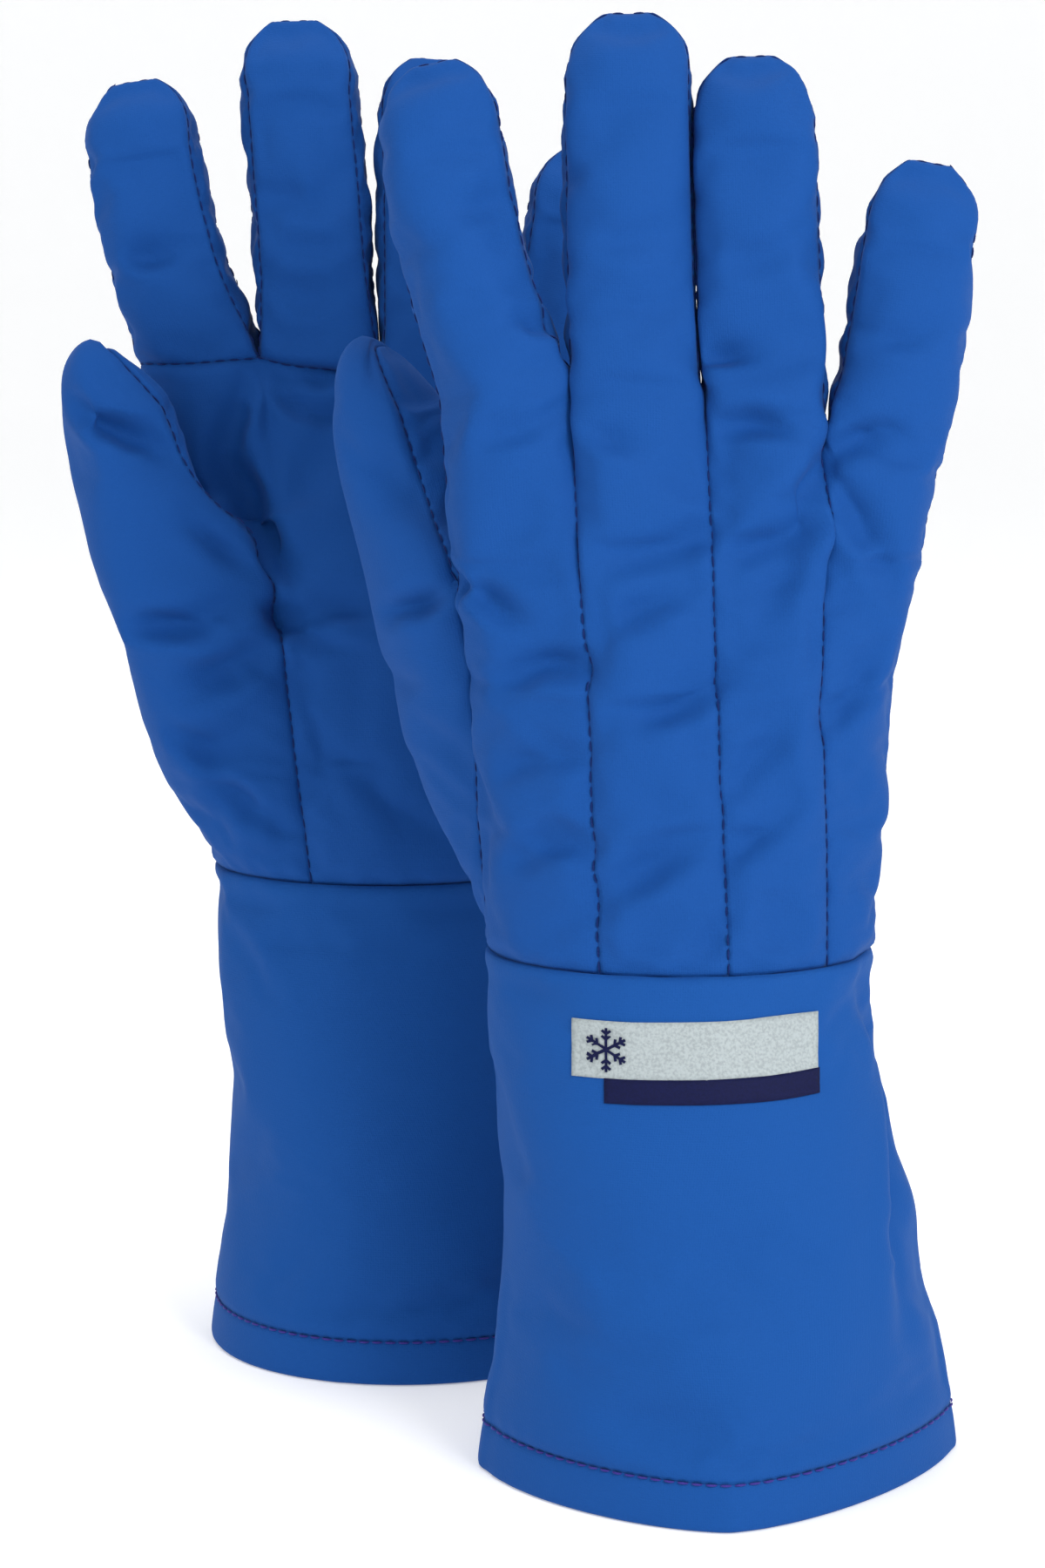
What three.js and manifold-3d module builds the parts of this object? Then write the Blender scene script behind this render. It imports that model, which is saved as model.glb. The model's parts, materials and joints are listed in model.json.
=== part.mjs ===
// A pair of mid-arm cryogenic gloves. They stand on their cuffs with the fingers up,
// the right glove in front with its back forwards, the left behind it with its palm forwards.
// Millimetres, +Z up. Within one glove x runs to the little finger, y to the palm and z up,
// from the middle of the wrist, on the level of the hem.
import * as THREE from "three";
import { mergeVertices } from "three/addons/utils/BufferGeometryUtils.js";
import Module from "manifold-3d";

const wasm = await Module();
wasm.setup();

// ---- Driving dimensions ----
const SHELL = 1.0; // outer fabric
const LINER = 3.4; // batting with its brushed lining
const GAP = 0.3; // between pieces that are sewn edge to edge
const LINER_INSET = SHELL + GAP;
const CAVITY_INSET = LINER_INSET + LINER;

const SEAM_Z = 135; // wrist seam
const HEM_HEIGHT = 12; // turned-up hem
const HEM = { x: 10, halfWidth: 61, halfDepth: 60 };
const WRIST = { halfWidth: 48.5, halfDepth: 34 };

const LABEL = { low: 105, high: 125, thickness: 0.4 };

// Hand cross-sections from the wrist to the knuckles: superellipses of the given power.
const HAND_SECTIONS = [
  { z: 135, halfWidth: 48.5, halfDepth: 34, y: 0, power: 2 },
  { z: 170, halfWidth: 51, halfDepth: 31, y: 0, power: 2.2 },
  { z: 205, halfWidth: 52, halfDepth: 28, y: 0, power: 2.4 },
  { z: 235, halfWidth: 57, halfDepth: 22, y: 0, power: 2.7 },
  { z: 284, halfWidth: 65, halfDepth: 13.2, y: -3, power: 3.6 },
];
const THUMB_CROTCH = { palmZ: 218, backZ: 229, palmX: -0.56 }; // palmX as a share of the half width

// base is the middle of the digit's root, lean its angle from vertical towards the little finger.
// sides are those with a strip of their own, and columns the places across the root where the
// hand's panels have corners.
const FINGERS = [
  { name: "index", base: [-47, -3, 280], lean: -12, length: 80, halfWidth: 16.2, sides: ["outer"], columns: [-1, -0.75, 0, 1] },
  { name: "middle", base: [-13, -3, 284], lean: -1, length: 86, halfWidth: 16.4, sides: ["thumb", "outer"], columns: [-1, 0, 1] },
  { name: "ring", base: [19.4, -3, 280], lean: -1, length: 80, halfWidth: 15, sides: ["thumb", "outer"], columns: [-1, 0, 1] },
  { name: "little", base: [50.2, -3, 266], lean: 9.5, length: 69, halfWidth: 14, sides: ["thumb"], columns: [-1, 0, 0.75, 1] },
];
const FINGER_HALF_DEPTH = 13;
// curl is the way that the tip moves as the digit bends.
const THUMB = {
  name: "thumb",
  base: [-63.5, 24.5, 228],
  direction: [-0.333, 0.093, 0.938],
  curl: [0.35, 0.93, 0],
  length: 64.5,
  halfWidth: 17,
  halfDepth: 15,
};
const DIGIT_TAPER = 0.92; // section at the fingertip's shoulder, against the root
const DIGIT_POWER = 2.4;

// Where each glove stands, and how far its hand sways sideways for each millimetre above the wrist.
const GLOVES = [
  { name: "right", x: 38.9, y: -56, palm: 1, sway: 0 },
  { name: "left", x: -38.9, y: 56, palm: -1, sway: -0.045 },
];

// ---- Materials ----
const fabric = (color, roughness) => new THREE.MeshStandardMaterial({ color, roughness, metalness: 0 });
const SHELL_FABRIC = fabric(0x285fb0, 0.8);
const SIDE_FABRIC = fabric(0x2459a6, 0.8);
const CUFF_FABRIC = fabric(0x2a62b2, 0.8);
const LINER_FABRIC = fabric(0x8fa6c8, 0.95);
const LABEL_FILM = fabric(0xbac6c8, 0.45);

// ---- Solids from grids ----
const lerp = THREE.MathUtils.lerp;
const radians = THREE.MathUtils.degToRad;
const vector = (list) => new THREE.Vector3(...list);

// A closed solid between two grids of points, each a list of columns of rising points. The columns
// run anticlockwise seen from above, and wrap round to the first if closed.
function sheet(outer, inner, closed = false) {
  const last = outer.length - 1;
  const top = outer[0].length - 1;
  const positions = [];
  const quad = (a, b, c, d) => [a, b, c, a, c, d].forEach((p) => positions.push(p.x, p.y, p.z));
  for (let i = 0; i < (closed ? last + 1 : last); i++) {
    const k = (i + 1) % outer.length;
    for (let j = 0; j < top; j++) {
      quad(outer[i][j], outer[k][j], outer[k][j + 1], outer[i][j + 1]);
      quad(inner[i][j], inner[i][j + 1], inner[k][j + 1], inner[k][j]);
    }
    quad(inner[i][0], inner[k][0], outer[k][0], outer[i][0]);
    quad(outer[i][top], outer[k][top], inner[k][top], inner[i][top]);
  }
  for (let j = 0; j < top && !closed; j++) {
    quad(inner[0][j], outer[0][j], outer[0][j + 1], inner[0][j + 1]);
    quad(outer[last][j], inner[last][j], inner[last][j + 1], outer[last][j + 1]);
  }
  return new THREE.BufferGeometry().setAttribute("position", new THREE.Float32BufferAttribute(positions, 3));
}

// A mesh between two offsets of one family of grids. grid(inset) gives the columns that far inside.
function layer(name, material, grid, outerInset, innerInset, closed = false) {
  const mesh = new THREE.Mesh(sheet(grid(outerInset), grid(innerInset), closed), material);
  mesh.name = name;
  return mesh;
}

// Overlapping closed solids as one.
function joined(geometries) {
  const solids = geometries.map((geometry) => {
    const merged = mergeVertices(geometry, 1e-4);
    const vertProperties = merged.getAttribute("position").array;
    const triVerts = new Uint32Array(merged.getIndex().array);
    return new wasm.Manifold(new wasm.Mesh({ numProp: 3, vertProperties, triVerts }));
  });
  const { vertProperties, triVerts } = solids.reduce((all, solid) => all.add(solid)).getMesh();
  const geometry = new THREE.BufferGeometry();
  geometry.setAttribute("position", new THREE.BufferAttribute(vertProperties, 3));
  return geometry.setIndex(new THREE.BufferAttribute(triVerts, 1));
}

const powered = (value, power) => Math.sign(value) * Math.abs(value) ** power;

function superellipse(angle, halfWidth, halfDepth, power) {
  const x = halfWidth * powered(Math.cos(angle), 2 / power);
  const y = halfDepth * powered(Math.sin(angle), 2 / power);
  return new THREE.Vector2(x, y);
}

// ---- Gauntlet ----
const CUFF_SIDES = 24;
const cuffAngle = (k) => ((k + 0.5) / CUFF_SIDES) * 2 * Math.PI;

// The cuff flares from the wrist to the hem, mostly towards the little finger.
function cuffPoint(angle, z, inset) {
  const drop = 1 - z / SEAM_Z;
  const halfWidth = lerp(WRIST.halfWidth, HEM.halfWidth, Math.max(drop, 0) ** 1.6) - inset;
  const halfDepth = lerp(WRIST.halfDepth, HEM.halfDepth, drop) - inset;
  const p = superellipse(angle, halfWidth, halfDepth, 2);
  return new THREE.Vector3(p.x + HEM.x * THREE.MathUtils.smoothstep(drop, 0, 1), p.y, z);
}

const cuffGrid = (first, count, heights) => (inset) =>
  Array.from({ length: count }, (_, k) => heights.map((z) => cuffPoint(cuffAngle(first + k), z, inset)));

function gauntlet(prefix) {
  const heights = [HEM_HEIGHT + GAP, 45, 75, LABEL.low, LABEL.high, SEAM_Z - GAP];
  const wall = cuffGrid(0, CUFF_SIDES, heights);
  const hem = cuffGrid(0, CUFF_SIDES, [0, HEM_HEIGHT]);
  const labelFirst = 15; // the columns on the back of the hand
  const labelColumns = 6;
  const label = cuffGrid(labelFirst, labelColumns, [LABEL.low, LABEL.high]);
  return [
    layer(`${prefix}_gauntlet_shell`, CUFF_FABRIC, wall, 0, SHELL, true),
    layer(`${prefix}_gauntlet_liner`, LINER_FABRIC, wall, LINER_INSET, CAVITY_INSET, true),
    layer(`${prefix}_hem_fold`, CUFF_FABRIC, hem, 0, CAVITY_INSET, true),
    layer(`${prefix}_label`, LABEL_FILM, label, -GAP - LABEL.thickness, -GAP),
  ];
}

// ---- Digits ----
const SIDE_ANGLE = 32; // half the angle that a side strip covers
const DIGIT_ROWS = [
  { at: 0, side: SIDE_ANGLE },
  { at: 0.4, side: SIDE_ANGLE },
  { at: 0.8, side: SIDE_ANGLE },
  { at: 0.92, side: 14 },
  { at: 0.985, side: 4 },
  { at: 1, side: 4 },
];
const CAP_FROM = 0.8; // the fingertip rounds over from here
const TIP_SCALE = 0.05;
const SIDE_ROWS = 4;

function capScale(at) {
  const over = Math.max(at - CAP_FROM, 0) / (1 - CAP_FROM);
  return Math.max(Math.sqrt(1 - over * over), TIP_SCALE);
}

// Twelve corners round a digit. Corner 0 faces the little finger's side, 3 the palm, 6 the thumb's
// side and 9 the back, and the side strips end at corners 1, 5, 7 and 11.
function cornerAngle(corner, side) {
  const k = ((corner % 12) + 12) % 12;
  const half = k % 6;
  const turn = k < 6 ? 0 : 180;
  const span = 180 - 2 * side;
  return radians(turn + (half === 0 ? 0 : side + ((half - 1) / 4) * span));
}

// The grid of a digit between two corners, trim millimetres short of its neighbours on each edge.
const digitGrid = (digit, from, to, rows, trim) => (inset) => {
  const columns = [];
  for (let corner = from; corner <= to; corner++) {
    const edge = corner === from ? 1 : corner === to ? -1 : 0;
    columns.push(
      rows.map(({ at, side }) => {
        const shrink = lerp(1, DIGIT_TAPER, Math.min(at / CAP_FROM, 1));
        const scale = capScale(at);
        const halfWidth = (digit.halfWidth * shrink - inset) * scale;
        const halfDepth = (digit.halfDepth * shrink - inset) * scale;
        const offset = Math.min((edge * trim) / halfDepth, 0.3);
        const p = superellipse(cornerAngle(corner, side) + offset, halfWidth, halfDepth, DIGIT_POWER);
        return new THREE.Vector3(p.x, p.y - digit.halfDepth, at * (digit.length - inset));
      }),
    );
  }
  return columns;
};

// The digit's group stands at its bending line: z along the digit, y the way that the tip curls.
function digitGroup(digit, prefix) {
  const group = new THREE.Group();
  const along = digit.direction.clone().normalize();
  const curl = digit.curl.clone().addScaledVector(along, -digit.curl.dot(along)).normalize();
  const across = new THREE.Vector3().crossVectors(curl, along);
  group.quaternion.setFromRotationMatrix(new THREE.Matrix4().makeBasis(across, curl, along));
  group.position.copy(digit.base).addScaledVector(curl, digit.halfDepth);
  group.name = `${prefix}_${digit.name}`;
  return group;
}

const SEAM_TRIM = GAP / 2;
const ALL_CORNERS = [0, 11];

function digitLiner(digit, name) {
  const grid = digitGrid(digit, ...ALL_CORNERS, DIGIT_ROWS, 0);
  return layer(name, LINER_FABRIC, grid, LINER_INSET, CAVITY_INSET, true);
}

function finger(digit, prefix) {
  const thumbSide = digit.sides.includes("thumb");
  const outerSide = digit.sides.includes("outer");
  const group = digitGroup(digit, prefix);
  const strip = (part, material, from, to, rows = DIGIT_ROWS) => {
    const grid = digitGrid(digit, from, to, rows, SEAM_TRIM);
    group.add(layer(`${group.name}_${part}`, material, grid, 0, SHELL));
  };
  strip("front", SHELL_FABRIC, outerSide ? 1 : 0, thumbSide ? 5 : 6);
  strip("back", SHELL_FABRIC, thumbSide ? 7 : 6, outerSide ? 11 : 12);
  if (thumbSide) strip("thumb_side", SIDE_FABRIC, 5, 7, DIGIT_ROWS.slice(0, SIDE_ROWS));
  if (outerSide) strip("outer_side", SIDE_FABRIC, 11, 13, DIGIT_ROWS.slice(0, SIDE_ROWS));
  group.add(digitLiner(digit, `${group.name}_liner`));
  return group;
}

function thumb(digit, prefix) {
  const group = digitGroup(digit, prefix);
  const panel = (part, material, from, to) => {
    const grid = digitGrid(digit, from, to, DIGIT_ROWS, SEAM_TRIM);
    group.add(layer(`${group.name}_${part}`, material, grid, 0, SHELL));
  };
  panel("inner", SIDE_FABRIC, -2, 2);
  panel("outer", SHELL_FABRIC, 2, 10);
  group.add(digitLiner(digit, `${group.name}_liner`));
  return group;
}

// ---- Hand ----
const HAND_ROWS = 6;
const ROOT_GAP = 0.5; // between the hand and the digits' roots
const LINER_LAP = -0.1; // the lining's panels overlap where the shell's keep apart

function handSection(z) {
  const above = HAND_SECTIONS.findIndex((s) => s.z >= z);
  const high = HAND_SECTIONS[above < 0 ? HAND_SECTIONS.length - 1 : Math.max(above, 1)];
  const low = HAND_SECTIONS[HAND_SECTIONS.indexOf(high) - 1];
  const share = (z - low.z) / (high.z - low.z);
  const mix = (key) => lerp(low[key], high[key], share);
  return { halfWidth: mix("halfWidth"), halfDepth: mix("halfDepth"), y: mix("y"), power: mix("power") };
}

// A fit holds the inset, the trim at the seams and the glove's sway. across runs from -1 at the
// thumb's edge to 1 at the little finger's, and side is 1 on the palm and -1 on the back.
function handPoint(across, side, z, fit) {
  const s = handSection(z);
  const depth = (1 - Math.abs(across) ** s.power) ** (1 / s.power);
  const x = across * (s.halfWidth - fit.inset) + fit.sway * (z - SEAM_Z);
  return new THREE.Vector3(x, s.y + side * (fit.trim + depth * (s.halfDepth - fit.inset)), z);
}

function handColumn(bottom, top, side, fit) {
  return Array.from({ length: HAND_ROWS + 1 }, (_, j) => {
    const share = j / HAND_ROWS;
    return handPoint(lerp(bottom.across, top.across, share), side, lerp(bottom.z, top.z, share), fit);
  });
}

// Where the hand's columns meet the fingers' roots, from the thumb's edge outwards.
function rootColumns(fingers, sway) {
  const tops = fingers.flatMap((digit) => {
    const slope = -digit.direction.x / digit.direction.z;
    return digit.columns.map((share) => {
      const run = share * digit.halfWidth * digit.direction.z;
      const z = digit.base.z + run * slope - ROOT_GAP;
      return { z, across: (digit.base.x + run - sway * (z - SEAM_Z)) / handSection(z).halfWidth };
    });
  });
  tops.at(0).across = -1;
  tops.at(-1).across = 1;
  return tops;
}

// Where the same columns meet the wrist.
const BACK_AT_WRIST = [-1, -0.9, -0.68, -0.46, -0.43, -0.1, 0.21, 0.24, 0.48, 0.74, 0.77, 0.9, 0.96, 1];
const PALM_AT_WRIST = [null, null, null, null, -0.42, -0.2, 0.05, 0.08, 0.3, 0.58, 0.61, 0.84, 0.95, 1];
const PALM_SEAM_AT_WRIST = -0.42;
const THUMB_SIDE_COLUMNS = PALM_AT_WRIST.lastIndexOf(null); // these start at the thumb's crotch

const backColumns = (tops, fit) =>
  tops.map((top, i) => handColumn({ z: SEAM_Z + GAP, across: BACK_AT_WRIST[i] }, top, -1, fit));

function palmColumns(tops, fit) {
  const columns = tops.map((top, i) => {
    const share = i / THUMB_SIDE_COLUMNS;
    const wrist = { z: SEAM_Z + GAP, across: PALM_AT_WRIST[i] };
    const z = lerp(THUMB_CROTCH.backZ, THUMB_CROTCH.palmZ, share) + fit.trim;
    const crotch = { z, across: lerp(-1, THUMB_CROTCH.palmX, share) };
    return handColumn(share > 1 ? wrist : crotch, top, 1, fit);
  });
  return columns.reverse();
}

// The panel below the thumb runs from the wrist up to the thumb's root, between palm and back.
const GUSSET_RING = [60, 90, 120, 150, 180, 210, 235]; // angles round the thumb's root

function gussetColumns(digit, fit) {
  const root = digitGroup(digit, "");
  root.updateMatrix();
  const halfWidth = digit.halfWidth - fit.inset;
  const halfDepth = digit.halfDepth - fit.inset;
  const ring = GUSSET_RING.map((angle) => {
    const p = superellipse(radians(angle), halfWidth, halfDepth, DIGIT_POWER);
    return new THREE.Vector3(p.x, p.y - digit.halfDepth, -ROOT_GAP).applyMatrix4(root.matrix);
  });
  const palmEnd = handPoint(THUMB_CROTCH.palmX, 1, THUMB_CROTCH.palmZ - fit.inset, fit);
  palmEnd.x -= 2 * fit.trim;
  const backEnd = handPoint(-1, 1, THUMB_CROTCH.backZ, fit);
  const tops = [palmEnd, ...ring, backEnd];
  const start = Math.acos(PALM_SEAM_AT_WRIST) + (2 * fit.trim) / WRIST.halfWidth;
  return tops.map((top, i) => {
    const angle = lerp(start, Math.PI, i / (tops.length - 1));
    const p = superellipse(angle, WRIST.halfWidth - fit.inset, WRIST.halfDepth - fit.inset, 2);
    const foot = new THREE.Vector3(p.x, p.y + fit.trim, SEAM_Z + GAP);
    return Array.from({ length: HAND_ROWS + 1 }, (_, j) => foot.clone().lerp(top, j / HAND_ROWS));
  });
}

function hand(prefix, fingers, thumbDigit, sway) {
  const tops = rootColumns(fingers, sway);
  const panels = (trim) => [
    (inset) => backColumns(tops, { inset, trim, sway }),
    (inset) => palmColumns(tops, { inset, trim, sway }),
    (inset) => gussetColumns(thumbDigit, { inset, trim, sway }),
  ];
  const [back, palm, gusset] = panels(SEAM_TRIM);
  const lining = panels(LINER_LAP).map((grid) => sheet(grid(LINER_INSET + GAP), grid(CAVITY_INSET)));
  const liner = new THREE.Mesh(joined(lining), LINER_FABRIC);
  liner.name = `${prefix}_hand_liner`;
  return [
    layer(`${prefix}_hand_back`, SHELL_FABRIC, back, 0, SHELL),
    layer(`${prefix}_hand_palm`, SHELL_FABRIC, palm, 0, SHELL),
    layer(`${prefix}_thumb_gusset`, SHELL_FABRIC, gusset, 0, SHELL),
    liner,
  ];
}

// ---- Gloves ----
// A digit as numbers for the glove that it belongs to, moved with that glove's sway.
function placedDigit(digit, sway) {
  const lean = radians(digit.lean ?? 0);
  const direction = digit.direction ? vector(digit.direction) : new THREE.Vector3(Math.sin(lean), 0, Math.cos(lean));
  direction.x += sway * direction.z;
  const base = vector(digit.base);
  base.x += sway * (base.z - SEAM_Z);
  const curl = vector(digit.curl ?? [0, 1, 0]);
  return { halfDepth: FINGER_HALF_DEPTH, ...digit, base, direction: direction.normalize(), curl };
}

function glove({ name, x, y, palm, sway }) {
  const group = new THREE.Group();
  const fingers = FINGERS.map((digit) => placedDigit(digit, sway));
  const thumbDigit = placedDigit(THUMB, sway);
  group.add(...gauntlet(name));
  group.add(...hand(name, fingers, thumbDigit, sway));
  group.add(...fingers.map((digit) => finger(digit, name)));
  group.add(thumb(thumbDigit, name));
  group.position.set(x, y, 0);
  group.scale.y = palm; // the left glove is the right one's mirror image
  group.name = name;
  return group;
}

const pair = new THREE.Group();
pair.add(...GLOVES.map(glove));

// The origin is on the floor, under the middle of the pair's box.
const box = new THREE.Box3().setFromObject(pair, true);
const middle = box.getCenter(new THREE.Vector3());
pair.position.set(-middle.x, -middle.y, -box.min.z);

export default pair;
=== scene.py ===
"""The looks of a pair of cryogenic gloves: sewn nylon panels over batting, standing on their cuffs.

Each glove is laid out as the sewn panels of a right glove, inflated by cloth simulation and cut into its
panels, and the left one is then mirrored. Within a glove x runs to the little finger, y to the palm and
z up from the hem's level, in millimetres until the meshes are made.
"""
import json
import math

import bpy
import numpy as np
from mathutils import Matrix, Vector, noise
from mathutils.bvhtree import BVHTree
from mathutils.kdtree import KDTree

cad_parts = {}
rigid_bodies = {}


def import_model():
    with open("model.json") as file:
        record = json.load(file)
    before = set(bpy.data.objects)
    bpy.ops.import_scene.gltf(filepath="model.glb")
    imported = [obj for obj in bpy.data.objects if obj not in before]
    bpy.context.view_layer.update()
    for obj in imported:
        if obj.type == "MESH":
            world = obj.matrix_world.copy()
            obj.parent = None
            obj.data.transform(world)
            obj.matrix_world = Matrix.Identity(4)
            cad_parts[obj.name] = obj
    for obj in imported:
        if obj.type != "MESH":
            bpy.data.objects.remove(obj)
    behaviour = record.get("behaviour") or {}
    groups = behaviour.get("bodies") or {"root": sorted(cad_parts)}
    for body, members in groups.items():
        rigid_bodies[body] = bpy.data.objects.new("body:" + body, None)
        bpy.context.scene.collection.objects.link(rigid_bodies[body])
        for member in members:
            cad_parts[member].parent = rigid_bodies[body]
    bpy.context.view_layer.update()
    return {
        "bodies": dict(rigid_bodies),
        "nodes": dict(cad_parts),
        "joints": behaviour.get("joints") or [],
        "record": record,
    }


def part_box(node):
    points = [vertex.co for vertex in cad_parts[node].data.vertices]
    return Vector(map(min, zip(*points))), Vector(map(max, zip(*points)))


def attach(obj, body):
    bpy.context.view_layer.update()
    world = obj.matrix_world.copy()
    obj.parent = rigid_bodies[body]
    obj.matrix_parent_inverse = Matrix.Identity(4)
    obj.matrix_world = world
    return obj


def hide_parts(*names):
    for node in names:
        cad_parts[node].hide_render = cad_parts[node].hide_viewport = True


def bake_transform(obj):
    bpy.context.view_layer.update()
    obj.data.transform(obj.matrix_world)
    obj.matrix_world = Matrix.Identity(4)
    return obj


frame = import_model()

MM = 0.001

# ---- Sizes of one glove, in millimetres ----
SEAM_Z = 135.0  # wrist seam
HEM_Z = 12.0  # top of the turned-up hem
# Where the middle of the CAD's hem is, how far the cuff's mouth is moved towards the little finger, its
# half sizes, and how far its edge on the thumb's side is let out.
HEM = {"centre": 10.0, "shift": 12.0, "half_width": 62.0, "half_depth": 60.0, "corner": 1.6}
HEM_TURN = 0.12  # how far the hem is turned, as the tangent of an angle seen from above
HEM_POINT = 1.5  # the superellipse power of the hem's back half, which comes to a soft point
WRIST = {"half_width": 48.5, "half_depth": 34.0}
# The hand's sections: heights, half sizes, middles and superellipse powers.
SECTION_Z = [135, 170, 205, 235, 284]
SECTION_HALF_WIDTH = [48.5, 51.5, 53, 58.5, 65]
SECTION_HALF_DEPTH = [34, 31, 28, 22, 13.2]
SECTION_Y = [0, 0, 0, 0, -3]
SECTION_POWER = [2, 2.2, 2.4, 2.7, 3.4]
PADDING = 4.5  # batting and lining under the shell

DIGIT_POWER = 2.4
DIGIT_TAPER = 0.95
FINGER_Y = -3.0
FINGER_HALF_DEPTH = 12.6
CAP = 19.0  # length of the rounded fingertip
CAP_CLOSING = 0.95  # how far the fingertip's width closes at its end
ROOT_FADE = 24.0  # how far along a digit the shape of its root reaches
# The three crotches on the back: x, and z at the back and at the palm.
CROTCHES = [(-28.0, 283.5, 277.5), (5.2, 277.0, 271.0), (34.9, 269.0, 262.0)]
CROTCH_Y = (-9.5, 4.0)
CROTCH_SAG = 2.5
# The middle of each root, the lean towards the little finger in degrees, and how far the digit bows.
FINGERS = {
    "index": {"root": (-45.8, 278.5), "lean": -11.8, "length": 80.5, "half_width": 16.5, "bow": -2.6},
    "middle": {"root": (-11.6, 277.8), "lean": -1.5, "length": 91.5, "half_width": 17.3, "bow": 0.0},
    "ring": {"root": (19.6, 267.5), "lean": -2.3, "length": 91.5, "half_width": 16.3, "bow": 0.0},
    "little": {"root": (49.4, 259.5), "lean": 8.4, "length": 74.5, "half_width": 14.9, "bow": 0.6},
}
# The thumb narrows to the taper, and its tip slopes down towards the hand by the slant.
THUMB = {
    "root": (-62.4, 24.5, 228.0), "curl": (0.35, 0.93, 0.0), "half_width": 17.2, "half_depth": 14.2,
    "bow": 0.0, "taper": 0.7, "slant": 12.5,
}
# The thumb's crotch on the palm and on the back, and the height of its row of the pattern at the far side.
THUMB_CROTCH = {"palm_z": 218.0, "back_z": 229.0, "far_z": 222.0, "sag": 3.0}
THUMB_SEAMS = (42, 298), (70, 290)  # degrees round the thumb of its two seams, at its root and at its tip

# How the two gloves differ: which way the thumb points, its length and its root's move, what is different
# about each finger, how far the hand leans for each millimetre of height, and where the cloth's unevenness
# starts.
STYLES = {
    "right": {
        "thumb": (-0.27, 0.093, 0.958), "thumb_length": 65.5, "thumb_shift": 0.0, "sway": 0.0, "seed": 0.0,
        "fingers": {"index": {"root": (-45.3, 278.5), "half_width": 16.0}},
    },
    "left": {
        "thumb": (-0.2, 0.093, 0.975), "thumb_length": 60.5, "thumb_shift": 4.0, "sway": -0.045, "seed": 40.0,
        "fingers": {
            "index": {"lean": -9.8, "length": 75.5},
            "ring": {"lean": 2.2},
            "little": {"lean": 11.4, "length": 76.0},
        },
    },
}

# ---- How finely the panels are laid out ----
DORSAL, SIDE, PALMAR = 10, 8, 10  # columns round a finger
HALF_SIDE = SIDE // 2
PALM_FIRST, PALM_LAST = DORSAL + SIDE, DORSAL + SIDE + PALMAR  # the first and last of its palm's columns
EDGE = PALM_LAST + HALF_SIDE  # the column in the middle of its side towards the thumb
OUTER = DORSAL + HALF_SIDE  # columns of the back strip below the index or the little finger
STRIPS = [0, OUTER, OUTER + DORSAL, OUTER + 2 * DORSAL, 2 * OUTER + 2 * DORSAL]  # where the rays are
THUMB_SEAM = 36  # the palm's column where the thumb's seam starts
THUMB_INNER = STRIPS[-1] - THUMB_SEAM
GUSSET = 24  # columns of the panel under the thumb
GUSSET_FADE = 9  # how many of them follow the thumb's crotch at each end
GUSSET_FULLNESS = 5.0
LOW_ROWS, HIGH_ROWS = 36, 20  # wrist to thumb crotch, and on to the fingers
FINGER_ROWS, CAP_ROWS = 32, 8
THUMB_ROWS = 27
GAUNTLET_ROWS = 50
BACK_CORNER, PALM_CORNER = 15.0, 35.0  # degrees round from a finger's side to the seams of its side strip
# Where the back's rays and the palm's columns meet the wrist seam, in degrees round the wrist.
RAY_DEGREES = [180, 244.5, 283.3, 318.6, 360]
GUSSET_DEGREES = 114.8
PALM_COLUMNS, PALM_DEGREES = [0, 14, 24, 34, THUMB_SEAM, 48], [0, 41, 77, 108, GUSSET_DEGREES, 150]

FINGER_NAMES = list(FINGERS)
DIGITS = ["thumb"] + FINGER_NAMES


def smooth(t):
    t = np.clip(t, 0.0, 1.0)
    return t * t * (3 - 2 * t)


def lerp(a, b, t):
    return a + (b - a) * t


# ---- Panel layout ----
def distances(line):
    """How far along a line each of its points is."""
    return np.r_[0, np.cumsum(np.linalg.norm(np.diff(line, axis=0), axis=1))]


def superellipse(degrees, half_width, half_depth, power):
    c, s = np.cos(np.radians(degrees)), np.sin(np.radians(degrees))
    c, s = np.where(abs(c) < 1e-9, 0, c), np.where(abs(s) < 1e-9, 0, s)
    x = np.sign(c) * abs(c) ** (2 / power) * half_width
    return x, np.sign(s) * abs(s) ** (2 / power) * half_depth


def hand_point(across, side, z):
    """The hand's surface. across is -1 at the thumb's edge and 1 at the other, and side is 1 on the palm."""
    width = np.interp(z, SECTION_Z, SECTION_HALF_WIDTH)
    depth = np.interp(z, SECTION_Z, SECTION_HALF_DEPTH)
    power = np.interp(z, SECTION_Z, SECTION_POWER)
    bulge = np.maximum(1 - abs(across) ** power, 0) ** (1 / power)
    y = np.interp(z, SECTION_Z, SECTION_Y) + side * bulge * depth
    return np.stack([across * width, y, z + 0 * across], -1)


def ring_degrees(cap=0.0):
    """The angles of a finger's columns, from its back edge on the thumb's side, anticlockwise from above."""
    back, front = BACK_CORNER * (1 - cap), PALM_CORNER * (1 - cap)
    arcs = [(180 + back, 360 - back, DORSAL), (360 - back, 360 + front, SIDE)]
    arcs += [(360 + front, 540 - front, PALMAR), (540 - front, 540 + back, SIDE)]
    return np.concatenate([np.linspace(a, b, n, endpoint=False) for a, b, n in arcs])


def digit_rows(length, rows):
    """Each row's distance along a digit, and how far round its cap the row is, from 0 to 1."""
    straight = np.linspace(0, length - CAP, rows - CAP_ROWS + 1)[:-1]
    turn = np.linspace(0, math.pi / 2, CAP_ROWS + 1)
    along = np.concatenate([straight, length - CAP + CAP * np.sin(turn)])
    return along, np.concatenate([0 * straight, np.sin(turn)])


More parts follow.
